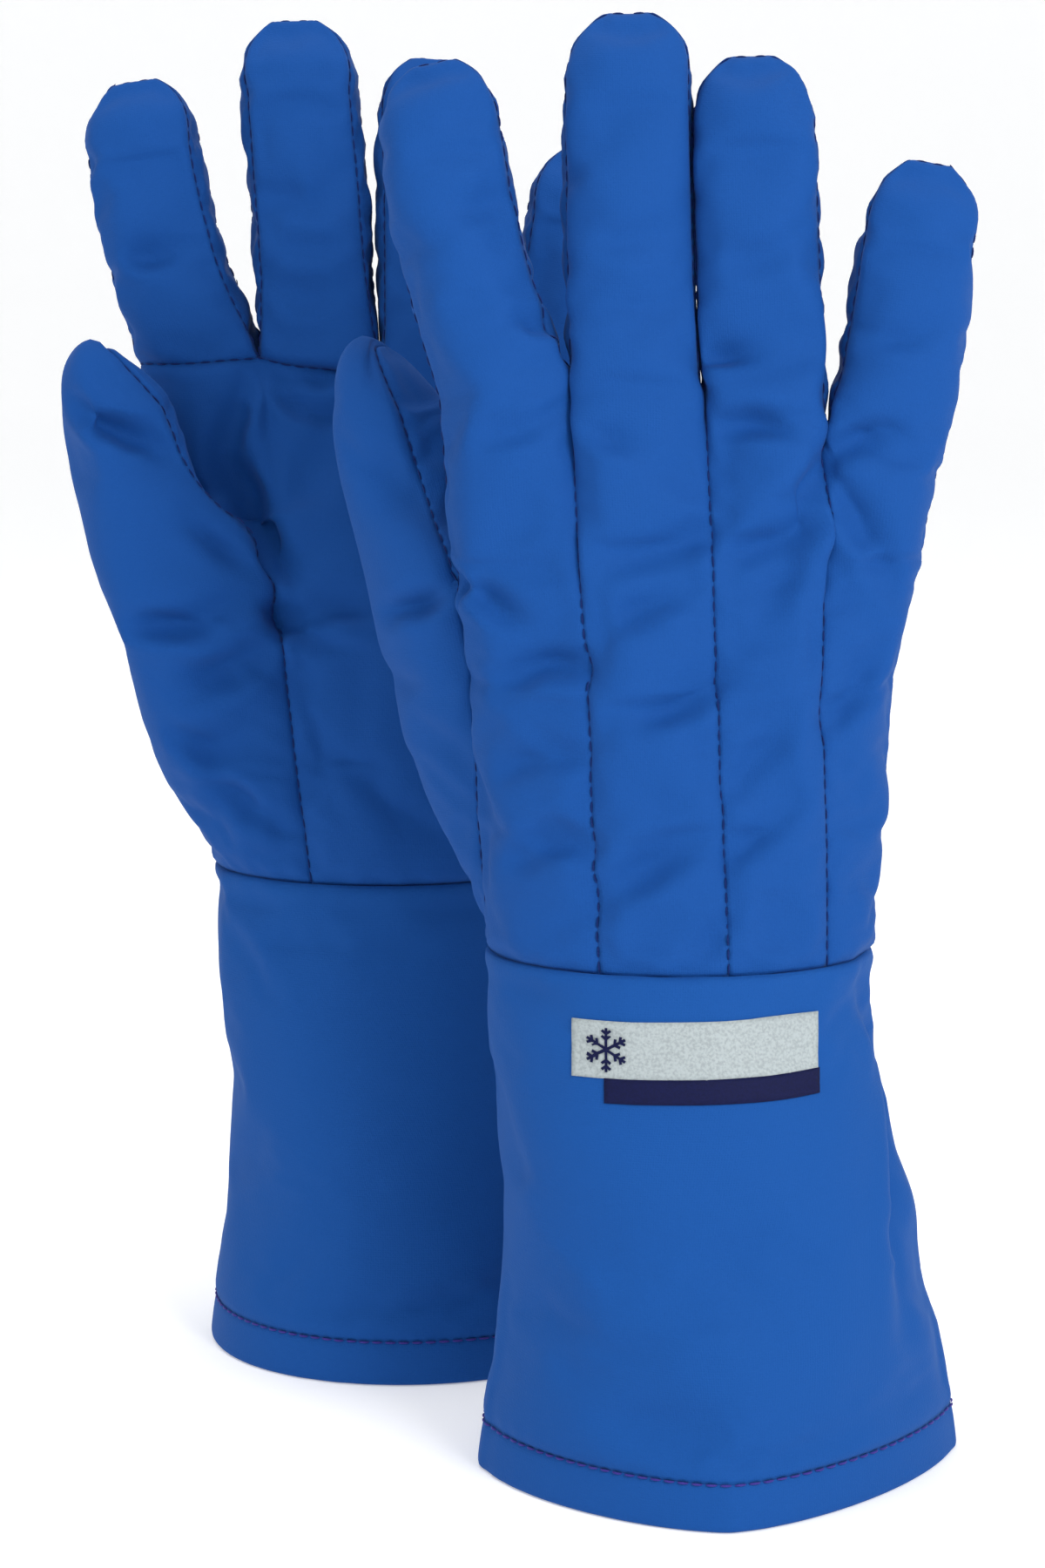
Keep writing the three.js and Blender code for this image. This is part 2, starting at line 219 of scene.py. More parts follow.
def digit_ring(s, cap, degrees, digit):
    """One row of a digit, with nothing done about its root."""
    taper = lerp(1, digit.get("taper", DIGIT_TAPER), min(s / digit["length"], 1))
    half_width = digit["half_width"] * taper * math.sqrt(1 - (CAP_CLOSING * cap) ** 2)
    half_depth = digit["half_depth"] * taper * math.sqrt(max(1 - cap * cap, 0))
    x, y = superellipse(degrees, half_width, half_depth, DIGIT_POWER)
    origin, across, curl, along = digit["frame"]
    slant = digit.get("slant", 0.0) * smooth(s / digit["length"] * 1.6 - 0.6)
    s = s - slant * (x / digit["half_width"] + 0.6) / 1.6
    x = x + digit["bow"] * np.sin(math.pi * np.clip(s / digit["length"], 0, 1))
    return origin + np.reshape(s, (-1, 1)) * along + x[:, None] * across + y[:, None] * curl


def finger_digit(name, style):
    f = {**FINGERS[name], **style["fingers"].get(name, {})}
    lean = math.radians(f["lean"])
    along = np.array([math.sin(lean), 0, math.cos(lean)])
    across = np.array([math.cos(lean), 0, -math.sin(lean)])
    origin = np.array([f["root"][0], FINGER_Y, f["root"][1]])
    return {**f, "half_depth": FINGER_HALF_DEPTH, "frame": (origin, across, np.array([0.0, 1, 0]), along)}


def thumb_digit(style):
    along = np.array(style["thumb"]) / np.linalg.norm(style["thumb"])
    curl = np.array(THUMB["curl"]) - along * np.dot(THUMB["curl"], along)
    curl /= np.linalg.norm(curl)
    root = np.array(THUMB["root"]) + np.array([style["thumb_shift"], 0, 0])
    frame = (root, np.cross(curl, along), curl, along)
    return {**THUMB, "length": style["thumb_length"], "frame": frame}


def crotch_line(i):
    """From the back to the palm across the crotch between fingers i and i + 1."""
    x, back_z, palm_z = CROTCHES[i]
    a = np.linspace(0, 1, SIDE + 1)
    line = [np.full_like(a, x), lerp(CROTCH_Y[0], CROTCH_Y[1], a), lerp(back_z, palm_z, a)]
    line[2] -= CROTCH_SAG * np.sin(a * math.pi)
    return np.stack(line, -1)


def root_ring(i, digit):
    """A finger's first row, which it shares with the hand and with its neighbours' crotches."""
    ring = digit_ring(0, 0, ring_degrees(), digit)
    back, palm = slice(0, DORSAL + 1), slice(PALM_FIRST, PALM_LAST + 1)
    rising, falling = np.linspace(0, 1, DORSAL + 1)[:, None], np.linspace(1, 0, DORSAL + 1)[:, None]
    if i < 3:
        line = crotch_line(i)
        ring[back] += rising * (line[0] - ring[DORSAL])
        ring[palm] += falling * (line[-1] - ring[PALM_FIRST])
        ring[DORSAL:PALM_FIRST + 1] = line
    if i > 0:
        line = crotch_line(i - 1)
        ring[back] += falling * (line[0] - ring[0])
        ring[palm] += rising * (line[-1] - ring[PALM_LAST])
        ring[PALM_LAST:] = line[:0:-1]
        ring[0] = line[0]
    return ring


def digit_grid(digit, root, rows, degrees):
    """All the rows of a digit, from its root ring to the seam over its tip."""
    grid = []
    regular_root = digit_ring(0, 0, degrees(0), digit)
    for s, cap in zip(*digit_rows(digit["length"], rows)):
        fade = 1 - smooth(s / ROOT_FADE)
        grid.append(digit_ring(s, cap, degrees(cap), digit) + fade * (root - regular_root))
    return np.array(grid)


def coons(bottom, top, left, right):
    """The patch between four curves: bottom and top run across, left and right run up."""
    a = np.linspace(0, 1, len(bottom))[None, :, None]
    b = np.linspace(0, 1, len(left))[:, None, None]
    ruled = lerp(bottom[None], top[None], b) + lerp(left[:, None], right[:, None], a)
    corners = lerp(lerp(bottom[0], bottom[-1], a), lerp(top[0], top[-1], a), b)
    return ruled - corners


def hand_panel(wrist_degrees, top, split_z, side):
    """The back or the palm, from the wrist seam up to the fingers' root rings."""
    across_wrist = np.cos(np.radians(wrist_degrees))
    low_x, high_x = top[:, 0].min(), top[:, 0].max()
    across_top = (2 * top[:, 0] - low_x - high_x) / (high_x - low_x)
    low = lerp(SEAM_Z, split_z[None], np.linspace(0, 1, LOW_ROWS + 1)[:, None])
    high = lerp(split_z[None], top[None, :, 2], np.linspace(0, 1, HIGH_ROWS + 1)[:, None])
    z = np.concatenate([low, high[1:]])
    v = (z - SEAM_Z) / (top[:, 2] - SEAM_Z)
    surface = hand_point(lerp(across_wrist, across_top, v), side, z)
    return surface + (v ** 3)[:, :, None] * (top - hand_point(across_top, side, top[:, 2]))


class Pattern:
    """Grids of points sewn into one mesh wherever they share points."""

    def __init__(self):
        self.points, self.faces, self.panels, self.parts, self.uvs, self.count = [], [], [], [], [], 0

    def add(self, grid, panel, part):
        """panel is one name for the whole grid, or one for each column of faces. Returns the grid's ids."""
        rows, columns = grid.shape[:2]
        ids = np.arange(rows * columns).reshape(rows, columns) + self.count
        u, v = distances(grid[rows // 2]), distances(grid[:, columns // 2])
        for c in range(columns - 1):
            name = panel if isinstance(panel, str) else panel[c]
            for r in range(rows - 1):
                corners = [(r, c), (r, c + 1), (r + 1, c + 1), (r + 1, c)]
                self.faces.append([ids[k] for k in corners])
                self.uvs.append([(u[k[1]], v[k[0]]) for k in corners])
                self.panels.append(name)
                self.parts.append(part)
        self.points.append(grid.reshape(-1, 3))
        self.count += rows * columns
        return ids

    def weld(self, seams):
        """Joins equal points. Returns the points, faces, panels, parts, UVs and the seams in the new ids."""
        points = np.concatenate(self.points)
        keys = np.round(points * 1e4).astype(np.int64)
        _, first, joined = np.unique(keys, axis=0, return_index=True, return_inverse=True)
        joined = joined.ravel()
        faces = joined[np.array(self.faces)]
        seams = {name: [joined[line] for line in lines] for name, lines in seams.items()}
        return points[first], faces, self.panels, self.parts, self.uvs, seams


def thumb_degrees(cap):
    """The angles of the thumb's columns: its outer panel's and then its inner panel's."""
    start, end = lerp(np.array(THUMB_SEAMS[0]), np.array(THUMB_SEAMS[1]), cap)
    inner = np.linspace(end, start + 360, THUMB_INNER, endpoint=False)
    return np.concatenate([np.linspace(start, end, GUSSET, endpoint=False), inner])


def gauntlet_grid(wrist):
    """The cuff from the hem up to the wrist seam, whose points are given."""
    angle = np.unwrap(np.arctan2(wrist[:, 1] / WRIST["half_depth"], wrist[:, 0] / WRIST["half_width"]))
    even = np.linspace(angle[0], angle[0] + 2 * math.pi, len(wrist))
    rows = []
    for z in np.linspace(SEAM_Z, HEM_Z, GAUNTLET_ROWS + 1):
        drop = 1 - z / SEAM_Z
        degrees = np.degrees(lerp(angle, even, smooth(drop * 1.5)))
        half_width = lerp(WRIST["half_width"], HEM["half_width"], drop ** 1.2)
        half_depth = lerp(WRIST["half_depth"], HEM["half_depth"], drop)
        x, y = superellipse(degrees, half_width, half_depth, 2)
        pointed_x, pointed_y = superellipse(degrees, half_width, half_depth, HEM_POINT)
        point = smooth(drop * 1.4 - 0.3) * smooth(-y / 12)
        x, y = lerp(x, pointed_x, point), lerp(y, pointed_y, point)
        let_out = HEM["corner"] * drop ** 3 * smooth(-x / half_width)
        x = x + HEM["shift"] * smooth(drop * 1.45 - 0.1) - let_out
        rows.append(np.stack([x, y, np.full_like(x, z)], -1))
    rows[0] = wrist
    for row in rows:
        row[-1] = row[0]
    return np.array(rows[::-1])


def finger_panels(name):
    """The panel of each column of a finger, and the columns of its seams."""
    panels = [f"{name}_back"] * DORSAL + [f"{name}_outer_side"] * SIDE
    panels += [f"{name}_front"] * PALMAR + [f"{name}_thumb_side"] * SIDE
    if name == "index":
        panels[PALM_LAST:] = ["index_front"] * HALF_SIDE + ["index_back"] * HALF_SIDE
        return panels, [DORSAL, PALM_FIRST, EDGE]
    if name == "little":
        panels[DORSAL:PALM_FIRST] = ["little_back"] * HALF_SIDE + ["little_front"] * HALF_SIDE
        return panels, [0, OUTER, PALM_LAST]
    return panels, [0, DORSAL, PALM_FIRST, PALM_LAST]


def closed(grid):
    """A grid that goes on to its first column again."""
    return np.concatenate([grid, grid[:, :1]], 1)


def lay_out(style):
    """The whole glove as one sewn mesh, with its seams by the body that they move with."""
    pattern = Pattern()
    seams = {name: [] for name in ["hand", "hem", "wrist"] + DIGITS}
    rings = [root_ring(i, finger_digit(name, style)) for i, name in enumerate(FINGER_NAMES)]
    index, middle, ring, little = rings
    own_back, own_palm = slice(1, DORSAL + 1), slice(PALM_FIRST + 1, PALM_LAST + 1)
    back_top = [index[EDGE:], index[:DORSAL + 1], middle[own_back], ring[own_back], little[1:OUTER + 1]]
    palm_top = [little[OUTER:PALM_LAST + 1], ring[own_palm], middle[own_palm], index[PALM_FIRST + 1:EDGE + 1]]
    back_top, palm_top = np.concatenate(back_top), np.concatenate(palm_top)
    columns = np.arange(STRIPS[-1] + 1)
    split = np.linspace(THUMB_CROTCH["back_z"], THUMB_CROTCH["far_z"], len(columns))
    back = hand_panel(np.interp(columns, STRIPS, RAY_DEGREES), back_top, split, -1)
    split = np.interp(columns, [0, THUMB_SEAM], [THUMB_CROTCH["far_z"], THUMB_CROTCH["palm_z"]])
    palm = hand_panel(np.interp(columns, PALM_COLUMNS, PALM_DEGREES), palm_top, split, 1)[:, :THUMB_SEAM + 1]
    palm[:, 0] = back[:, -1]

    a = np.linspace(0, 1, THUMB_INNER + 1)[:, None]
    crotch = lerp(palm[LOW_ROWS, -1], back[LOW_ROWS, 0], a)
    crotch = crotch - np.array([0, 0, THUMB_CROTCH["sag"]]) * np.sin(a * math.pi)
    web = coons(crotch, palm_top[THUMB_SEAM:], palm[LOW_ROWS:, -1], back[LOW_ROWS:, 0])

    thumb = thumb_digit(style)
    thumb_root = digit_ring(0, 0, thumb_degrees(0), thumb)
    at_palm, at_back = palm[LOW_ROWS, -1] - thumb_root[0], back[LOW_ROWS, 0] - thumb_root[GUSSET]
    share = np.arange(GUSSET + 1)[:, None]
    near_palm, near_back = 1 - smooth(share / GUSSET_FADE), 1 - smooth((GUSSET - share) / GUSSET_FADE)
    thumb_root[:GUSSET + 1] += near_palm * at_palm + near_back * at_back
    thumb_root[GUSSET:] = crotch[:0:-1]
    thumb_root[0] = crotch[0]
    wrist_arc = hand_point(np.cos(np.radians(np.linspace(GUSSET_DEGREES, 180, GUSSET + 1))), 1, SEAM_Z)
    gusset = coons(wrist_arc, thumb_root[:GUSSET + 1], palm[:LOW_ROWS + 1, -1], back[:LOW_ROWS + 1, 0])
    up, over = np.linspace(0, math.pi, LOW_ROWS + 1), np.linspace(0, math.pi, GUSSET + 1)
    full = np.sin(up)[:, None] * np.sin(over)
    full[abs(full) < 1e-9] = 0
    gusset[..., 0] -= GUSSET_FULLNESS * full

    widths = zip(FINGER_NAMES, np.diff(STRIPS))
    back_ids = pattern.add(back, [f"{name}_back" for name, width in widths for _ in range(width)], "hand")
    palm_ids = pattern.add(palm, "palm", "hand")
    web_ids = pattern.add(web, "palm", "hand")
    pattern.add(gusset, "thumb_outer", "hand")

    for i, name in enumerate(FINGER_NAMES):
        grid = digit_grid(finger_digit(name, style), rings[i], FINGER_ROWS, ring_degrees)
        panels, edges = finger_panels(name)
        ids = pattern.add(closed(grid), panels, name)
        seams[name].append(ids[-1, :DORSAL + 1])
        seams[name] += [ids[:, c] for c in edges]
        if i < 3:
            seams["hand"].append(ids[0, DORSAL:PALM_FIRST + 1])
    grid = digit_grid(thumb, thumb_root, THUMB_ROWS, thumb_degrees)
    panels = ["thumb_outer"] * GUSSET + ["thumb_inner"] * THUMB_INNER
    ids = pattern.add(closed(grid), panels, "thumb")
    seams["thumb"] += [ids[:, 0], ids[:, GUSSET]]
    seams["hand"] += [ids[0, GUSSET:]]

    wrist = np.concatenate([back[0], palm[0, 1:], wrist_arc[1:]])
    gauntlet_ids = pattern.add(gauntlet_grid(wrist), "gauntlet", "gauntlet")
    seams["hand"] += [back_ids[:, c] for c in STRIPS] + [palm_ids[:LOW_ROWS + 1, -1]]
    seams["wrist"] += [gauntlet_ids[-1]]
    seams["hand"] += [palm_ids[-1], web_ids[-1]]
    seams["hem"] += [gauntlet_ids[0]]
    return pattern.weld(seams)


def clean(face):
    """A face without repeated corners."""
    return [int(p) for i, p in enumerate(face) if p != face[i - 1]]


def tree_of(points, faces):
    return BVHTree.FromPolygons([tuple(p) for p in points], [clean(f) for f in faces])


def grid_faces(rows, columns, first=0, closed=False, flip=False):
    """The faces between rows of points, and the column and row of every corner of theirs.

    first is the first point's number. A closed grid goes on from its last column to its first.
    """
    faces, corners = [], []
    for r in range(rows - 1):
        for c in range(columns if closed else columns - 1):
            a, b = first + r * columns + c, first + r * columns + (c + 1) % columns
            face = [a, b, b + columns, a + columns]
            where = [(c, r), (c + 1, r), (c + 1, r + 1), (c, r + 1)]
            faces.append(face[:1] + face[:0:-1] if flip else face)
            corners += where[:1] + where[:0:-1] if flip else where
    return faces, corners


def normals_of(points, faces):
    diagonals = np.cross(points[faces[:, 2]] - points[faces[:, 0]], points[faces[:, 3]] - points[faces[:, 1]])
    total = np.zeros_like(points)
    for corner in range(4):
        np.add.at(total, faces[:, corner], diagonals)
    return total / np.maximum(np.linalg.norm(total, axis=1, keepdims=True), 1e-9)


# ---- Folds ----
BACK, PALM = -1, 1
FOLD_DEPTH = 1.6  # how many times deeper than its own depth every fold is pressed
# The valleys pressed into each side of a glove: the x and z of each point along it, its width and its depth.
FOLDS = {
    BACK: [
        # round the crotches
        (21, 226, 31, 246, 35, 262, 4.5, 3.6), (24, 249, 30, 252, 34, 257, 3.4, 3.4),
        (37, 262, 44, 266, 52, 269, 3.4, 2.8), (36, 258, 44, 243, 54, 226, 4.5, 2.4),
        (12, 237, 22, 240, 33, 246, 4.6, 3.2), (9, 268, 18, 270, 27, 268, 3.6, 2.8),
        (5, 284, 10, 286, 15, 287, 3.0, 2.8), (-14, 237, -3, 239, 8, 243, 4.8, 2.8),
        (-23, 269, -19, 266, -14, 264, 3.4, 2.6), (-42, 297, -36, 294, -29, 293, 3.4, 2.4),
        (-50, 266, -38, 268, -29, 275, 3.6, 1.8),
        # across the strips below
        (-19, 218, -10, 225, 0, 230, 5.0, 2.4), (-12, 197, 0, 202, 9, 208, 5.2, 2.6),
        (-22, 151, -10, 161, 3, 168, 5.5, 2.4), (10, 163, 17, 168, 25, 174, 4.5, 2.0),
        (13, 182, 20, 190, 26, 198, 5.5, 2.0), (-46, 205, -34, 211, -21, 210, 4.5, 3.0),
        (-47, 182, -38, 187, -27, 188, 4.5, 2.0), (36, 196, 43, 204, 49, 214, 5.0, 2.2),
        (-44, 160, -34, 166, -22, 166, 5.0, 2.0), (2, 137, 6, 143, 11, 148, 4.0, 1.4),
        # beside the thumb's crotch
        (-57, 229, -50, 227, -43, 221, 3.2, 4.0), (-74, 219, -67, 221, -60, 226, 3.4, 4.0),
        # across the fingers
        (-58, 324, -52, 321, -44, 324, 4.0, 1.6), (-22, 316, -14, 313, -4, 318, 4.0, 1.6),
        (8, 311, 16, 308, 26, 313, 4.0, 1.6), (46, 291, 54, 290, 64, 296, 4.0, 1.6),
        # on the cuff, down its side and across it
        (46, 128, 52, 104, 56, 66, 58, 40, 7.0, 2.4), (-30, 74, -6, 60, 20, 54, 16.0, 1.2),
    ],
    PALM: [
        # round the crotches
        (20, 228, 30, 244, 34, 256, 5.0, 3.2), (34, 258, 42, 254, 49, 246, 3.4, 2.4),
        (8, 268, 14, 263, 22, 262, 3.0, 2.4), (-12, 262, -4, 262, 3, 268, 3.0, 2.4),
        (0, 236, 4, 250, 5, 266, 4.5, 2.6), (-39, 251, -35, 261, -30, 274, 3.4, 4.0),
        (-24, 274, -12, 272, 1, 273, 3.0, 2.8), (-27, 274, -20, 266, -10, 259, 3.4, 2.6),
        # between the palm and the thumb
        (-40, 249, -34, 235, -24, 220, 5.5, 5.6), (-29, 214, -24, 206, -14, 202, 4.5, 3.2),
        (-48, 235, -41, 228, -33, 221, 4.0, 2.8), (-64, 207, -48, 206, -34, 214, 4.4, 3.8),
        (-50, 188, -40, 193, -29, 200, 5.0, 3.4),
        # across the thumb's pad
        (-76, 266, -70, 262, -62, 258, -56, 255, 4.0, 4.0),
        # low on the palm
        (-54, 174, -46, 171, -36, 175, 5.0, 2.2), (-46, 163, -38, 156, -28, 150, 5.0, 2.2),
        (-24, 206, -12, 211, 2, 210, 5.5, 2.4),
        # across the fingers
        (-62, 306, -56, 304, -50, 306, 4.0, 1.8), (-20, 322, -12, 318, -4, 322, 4.0, 1.8),
        (-24, 296, -14, 292, -2, 296, 4.0, 2.0),
    ],
}


def surface_y(tree, side, x, z):
    """Where a line through x and z along y first meets the glove from the back or from the palm."""
    hit = tree.ray_cast(Vector((x, side * 200, z)), Vector((0, -side, 0)))[0]
    return hit.y if hit is not None else 0.0


def press_folds(points, faces):
    """Presses the folds into the surface, deepest at the middle of each, with a slight rise beside it.

    The wall on the right of a fold's line, seen from the back, is the steeper one.
    """
    normals = normals_of(points, faces)
    tree = tree_of(points, faces)
    for side, (*line, width, depth) in [(side, fold) for side, folds in FOLDS.items() for fold in folds]:
        line = np.array([(x, surface_y(tree, side, x, z), z) for x, z in zip(line[::2], line[1::2])])
        push = np.zeros(len(points))
        for n, (a, b) in enumerate(zip(line, line[1:])):
            along = np.clip((points - a) @ (b - a) / ((b - a) @ (b - a)), 0, 1)
            right = np.array([b[2] - a[2], 0, a[0] - b[0]]) / np.hypot(b[0] - a[0], b[2] - a[2])
            steep = smooth(0.5 + (points - a) @ right / 5.0)
            d = np.linalg.norm(points - a - along[:, None] * (b - a), axis=1)
            d = d / (width * lerp(1.35, 0.7, steep))
            middle = np.sin(math.pi * np.clip((n + along) / (len(line) - 1) * 0.8 + 0.1, 0, 1))
            rise = 0.3 * lerp(0.3, 1.2, steep) * np.exp(-(1.3 * d - 2.2) ** 2)
            valley = (1.3 * np.exp(-(1.4 * d) ** 2) - rise) * middle
            push = np.where(abs(valley) > abs(push), valley, push)
        facing = np.clip(side * normals[:, 1] * 2 + 1, 0, 1)
        points = points - FOLD_DEPTH * depth * (push * facing)[:, None] * normals
    return points


# ---- Inflating ----
GROWTH = 0.06  # the hand's cloth is cut this much larger than its pattern, so that it puckers at the seams
CUFF_GROWTH = 0.012
PRESSURE = 3.0
MOST_MOVE = 3.6
FRAMES = 20  # of simulation


def inflate(points, faces, pinned):
    """Swells the panels between their seams by cloth simulation, no point moving further than MOST_MOVE."""
    mesh = bpy.data.meshes.new("inflating")
    mesh.from_pydata((points * MM).tolist(), [], [clean(f) for f in faces])
    obj = bpy.data.objects.new("inflating", mesh)
    bpy.context.scene.collection.objects.link(obj)
    group = obj.vertex_groups.new(name="seams")
    group.add([int(i) for i in pinned], 1.0, "REPLACE")
    cloth = obj.modifiers.new("Cloth", "CLOTH")
    cuff = obj.vertex_groups.new(name="cuff")
    cuff.add([i for i, p in enumerate(points) if p[2] < SEAM_Z], 1.0, "REPLACE")
    s = cloth.settings
    s.quality, s.mass = 5, 0.15
    s.tension_stiffness = s.compression_stiffness = 25
    s.shear_stiffness, s.bending_stiffness = 12, 0.9
    s.vertex_group_mass, s.vertex_group_shrink = "seams", "cuff"
    s.shrink_min, s.shrink_max = -GROWTH, -CUFF_GROWTH
    s.use_pressure, s.uniform_pressure_force = True, PRESSURE
    s.effector_weights.gravity = 0
    cloth.collision_settings.use_collision = False
    cloth.point_cache.frame_start, cloth.point_cache.frame_end = 1, FRAMES
    for f in range(1, FRAMES + 1):
        bpy.context.scene.frame_set(f)
    inflated = obj.evaluated_get(bpy.context.evaluated_depsgraph_get()).data
    moved = np.array([v.co[:] for v in inflated.vertices]) / MM - points
    bpy.context.scene.frame_set(1)
    bpy.data.objects.remove(obj)
    far = np.linalg.norm(moved, axis=1, keepdims=True)
    return points + moved * (MOST_MOVE * np.tanh(far / MOST_MOVE) / np.maximum(far, 1e-9))


RELAX_REACH = np.array([30.0, 30.0, 14.0])  # how far along x, y and z the cloth is evened out
RELAX_ROUNDS = 24


def relax(points, faces, ids, centre):
    """Evens out the given points of the cloth near one place."""
    starts, ends = faces.ravel(), np.roll(faces, -1, 1).ravel()
    beside = np.zeros(len(points))
    np.add.at(beside, starts, 1)
    np.add.at(beside, ends, 1)
    weight = np.zeros(len(points))
    weight[ids] = np.exp(-(((points[ids] - centre) / RELAX_REACH) ** 2).sum(1))
    for _ in range(RELAX_ROUNDS):
        total = np.zeros_like(points)
        np.add.at(total, starts, points[ends])
        np.add.at(total, ends, points[starts])
        points = points + 0.5 * weight[:, None] * (total / beside[:, None] - points)
    return points


CONTACT_SLANT = 0.22  # fingers press together along planes turned this far from square to the palm
CONTACT_FADE = 30.0  # and which are square at their roots and reach that slant this far up


def part_fingers(points, faces, parts, style):
    """Keeps neighbouring fingers on their own side of the plane halfway between them."""
    hand = set(np.unique(faces[parts == "hand"]))
    for near, far in zip(FINGER_NAMES, FINGER_NAMES[1:]):
        a, b = finger_digit(near, style), finger_digit(far, style)
        for digit, sign in ((near, 1), (far, -1)):
            ids = np.array([i for i in np.unique(faces[parts == digit]) if i not in hand])
            z = points[ids, 2]
            axes = []
            for origin, _, _, along in (a["frame"], b["frame"]):
                axes.append(origin[0] + along[0] / along[2] * (z - origin[2]))
            share = a["half_width"] / (a["half_width"] + b["half_width"])
            slant = CONTACT_SLANT * smooth((z - a["frame"][0][2]) / CONTACT_FADE)
            plane = lerp(axes[0], axes[1], share) - sign * 0.1 + slant * (points[ids, 1] - FINGER_Y)
            points[ids, 0] = plane - sign * np.maximum(sign * (plane - points[ids, 0]), 0)
    return points


def seam_points(points, seams):
    """The points of every seam and how far along their seam they are."""
    found, along = [], []
    for lines in seams.values():
        for ids in lines:
            found.append(points[ids])
            along.append(distances(points[ids]))
    return np.concatenate(found), np.concatenate(along)


PUCKER = 0.27  # height of the puckers
PUCKER_PITCH = 9.5  # from one to the next along a seam
PUCKER_FROM, PUCKER_REACH = 3.2, 3.6  # how far from the seam they are deepest, and how far they spread
CUFF_DENTS = 0.45  # the cuff's dents, as a share of the hand's


def ripple(points, normals, seams, seed):
    """Small puckers across the seams and broad soft dents between them."""
    from_seam, along = nearest_seam(points, seams)
    height = np.zeros(len(points))
    for i, p in enumerate(points):
        q = Vector(p) + Vector((seed, seed, 0))
        broad = noise.noise(q / 34.0) * 1.5 + noise.noise(q / 15.0 + Vector((7, 3, 1))) * 0.55
        strength = 0.5 + noise.noise(q / 22.0 + Vector((2, 9, 4)))
        pucker = math.sin(along[i] * 2 * math.pi / PUCKER_PITCH + 3 * noise.noise(q / 18.0))
        d = from_seam[i]
        near = math.exp(-((d - PUCKER_FROM) / PUCKER_REACH) ** 2)
        broad *= CUFF_DENTS if p[2] < SEAM_Z else 1.0
        height[i] = broad * min(d / 6, 1) + PUCKER * strength * pucker * near
    return points + height[:, None] * normals


def nearest_seam(points, seams):
    """Each point's distance from the nearest seam, and how far along that seam it is."""
    found, along = seam_points(points, seams)
    tree = KDTree(len(found))
    for i, p in enumerate(found):
        tree.insert(p, i)
    tree.balance()
    nearest = [tree.find(p) for p in points]
    return np.array([d for _, _, d in nearest]), np.array([along[i] for _, i, _ in nearest])


# ---- The two gloves ----
# Distances along each digit for where its cloth would start to follow the digit and where it would have left
# the hand; nothing bends the pieces across these joints.
BENDS = {"index": (8, 38), "middle": (9, 39), "ring": (9, 39), "little": (8, 36), "thumb": (4, 32)}
WRIST_BEND = 70.0, SEAM_Z  # and the same for the wrist, as heights


class Glove:
    """Puts points of the glove's layout into the row frame, in metres."""

    def __init__(self, side):
        self.side = side
        low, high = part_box(f"{side}_hem_fold")
        self.origin = np.array([(low[0] + high[0]) / 2 - HEM["centre"] * MM, (low[1] + high[1]) / 2, low[2]])
        self.mirror = -1 if side == "left" else 1
        self.style = STYLES[side]

    def place(self, points):
        p = np.array(points, float)
        p[..., 0] += self.style["sway"] * np.maximum(p[..., 2] - SEAM_Z, 0)
        p[..., 1] *= self.mirror
        p[..., 1] += HEM_TURN * (p[..., 0] - HEM["centre"]) * smooth(1 - p[..., 2] / SEAM_Z)
        return p * MM + self.origin

    def body(self, name):
        return f"{self.side}_{name}"

    def attach(self, obj, where):
        """where is a body's name, which the piece is attached to, or the name of a joint, at which the piece
        is only fixed in place.
        """
        if where == "wrist":
            first, last = WRIST_BEND
            self.bend(obj, "hand", (0, 0, first), (0, 0, last))
        elif where in BENDS:
            digit = thumb_digit(self.style) if where == "thumb" else finger_digit(where, self.style)
            origin, _, _, along = digit["frame"]
            first, last = BENDS[where]
            self.bend(obj, where, origin + first * along, origin + last * along)
        else:
            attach(obj, self.body(where))

    def bend(self, obj, b, start, end):
        self.body(b)
        tuple(self.place(start))
        tuple(self.place(end))
        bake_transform(obj)


# ---- Materials ----
def new_material(name):
    material = bpy.data.materials.new(name)
    material.use_nodes = True
    return material, material.node_tree.nodes["Principled BSDF"]


def set_sockets(material, node, sockets):
    """Gives each socket its value, or links it where the value is another node's output."""
    for key, value in sockets.items():
        if isinstance(value, bpy.types.NodeSocket):
            material.node_tree.links.new(value, node.inputs[key])
        else:
            node.inputs[key].default_value = value


def add_node(material, kind, sockets=(), output=0, **settings):
    """Adds a shader node and returns one of its outputs."""
    node = material.node_tree.nodes.new("ShaderNode" + kind)
    for key, value in settings.items():
        setattr(node, key, value)
    set_sockets(material, node, dict(sockets))
    return node.outputs[output]


def add_ramp(material, factor, *stops):
    """A colour ramp between two stops, each a position and a colour."""
    colour = add_node(material, "ValToRGB", {"Fac": factor}, "Color")
    for element, (position, rgb) in zip(colour.node.color_ramp.elements, stops):
        element.position, element.color = position, tuple(rgb[:3]) + (1.0,)
    return colour


def linear(r, g, b):
    """A colour given as 0 to 255 on a screen, as Blender wants it."""
    rgb = (r, g, b)
    return tuple(((c / 255 + 0.055) / 1.055) ** 2.4 if c > 10 else c / 255 / 12.92 for c in rgb) + (1.0,)


# What the cloth's colour is multiplied by between its threads and on top of them.
DARK_THREAD, LIGHT_THREAD = (0.74, 0.74, 0.74), (1.6, 1.2, 1.26)


